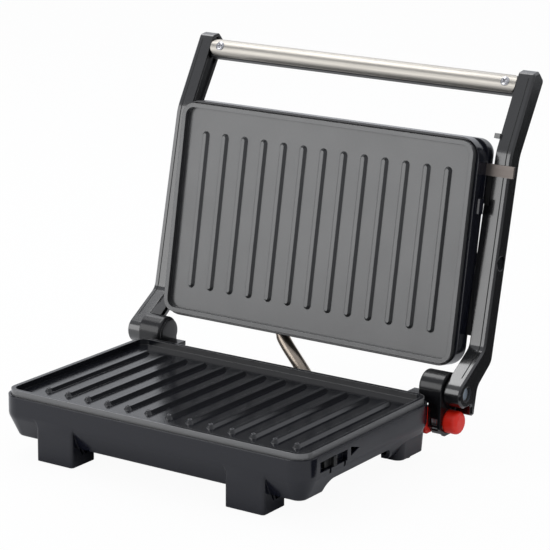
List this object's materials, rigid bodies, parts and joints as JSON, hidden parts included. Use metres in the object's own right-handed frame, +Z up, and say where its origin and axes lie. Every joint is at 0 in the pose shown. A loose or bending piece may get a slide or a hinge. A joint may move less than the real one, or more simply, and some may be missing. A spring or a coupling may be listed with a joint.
{
  "type": "electric contact grill",
  "caption": "Electric contact grill for pressed sandwiches, open, with ribbed plates, a floating upper plate, black side arms and a steel bar handle",
  "frame": {"origin": "on the floor, in the middle of the open grill's footprint", "axes": "+X to the user's right, +Y to the back where the hinge is, +Z up"},
  "size_m": [0.2706, 0.253, 0.2404],
  "materials": {
    "housing_black": "glossy",
    "tower_black": "satin",
    "arm_black": "glossy",
    "handle_black": "satin",
    "latch_black": "satin",
    "handle_steel": "brushed",
    "bright_screw": "polished",
    "pin_steel": "satin",
    "spring_steel": "satin",
    "element_steel": "satin",
    "reflector_sheet": "satin",
    "conduit_steel": "satin",
    "ferrule_steel": "satin",
    "tab_steel": "satin",
    "upper_plate_cast": "satin",
    "lower_plate_cast": "satin",
    "inner_ceramic": "matte",
    "gland_rubber": "matte",
    "foot_rubber": "matte",
    "knob_red": "glossy",
    "lamp_lens": "glossy"
  },
  "bodies": {
    "base": {"lower_housing": "housing_black", "bottom_cover": "housing_black", "bottom_cover_screws": "bright_screw", "rubber_feet": "foot_rubber", "lower_grill_plate": "lower_plate_cast", "lower_heating_element": "element_steel", "lower_reflector": "reflector_sheet", "thermostat": "element_steel", "thermal_fuse": "inner_ceramic", "terminal_block": "inner_ceramic", "cord_gland": "gland_rubber", "conduit_ferrule": "ferrule_steel", "wiring_conduit": "conduit_steel", "hinge_tower_left": "tower_black", "hinge_tower_right": "tower_black", "hinge_pin_left": "pin_steel", "hinge_pin_right": "pin_steel", "release_spring": "spring_steel"},
    "handle_frame": {"arm_left": "arm_black", "arm_right": "arm_black", "arm_cover_left": "arm_black", "arm_cover_right": "arm_black", "handle_core": "handle_black", "handle_grip": "handle_steel", "handle_screws": "bright_screw", "pivot_pin_left": "pin_steel", "pivot_pin_right": "pin_steel"},
    "platen": {"upper_grill_plate": "upper_plate_cast", "upper_heating_element": "element_steel", "upper_reflector": "reflector_sheet", "upper_thermal_fuse": "inner_ceramic", "upper_frame": "housing_black", "upper_cover": "housing_black", "conduit_grommet": "gland_rubber", "indicator_lamps": "lamp_lens", "stop_tab": "tab_steel"},
    "release_knob": {"release_knob": "knob_red"},
    "storage_latch": {"storage_latch": "latch_black"}
  },
  "joints": [
    {"name": "lid_hinge", "type": "hinge", "parent": "base", "child": "handle_frame", "pos_m": [0, 0.0369, 0.0435], "axis": [1, 0, 0], "range_deg": [0, 100], "deforming": ["wiring_conduit"]},
    {"name": "platen_float", "type": "hinge", "parent": "handle_frame", "child": "platen", "pos_m": [0, 0.0768, 0.1216], "axis": [1, 0, 0], "range_deg": [0, 3]},
    {"name": "release_push", "type": "slide", "parent": "base", "child": "release_knob", "axis": [-1, 0, 0], "range_m": [0, 0.008], "stiffness_N_per_m": 400, "springref_m": -0.004, "deforming": ["release_spring"]},
    {"name": "latch_slide", "type": "slide", "parent": "base", "child": "storage_latch", "axis": [0, 1, 0], "range_m": [0, 0.008]}
  ]
}
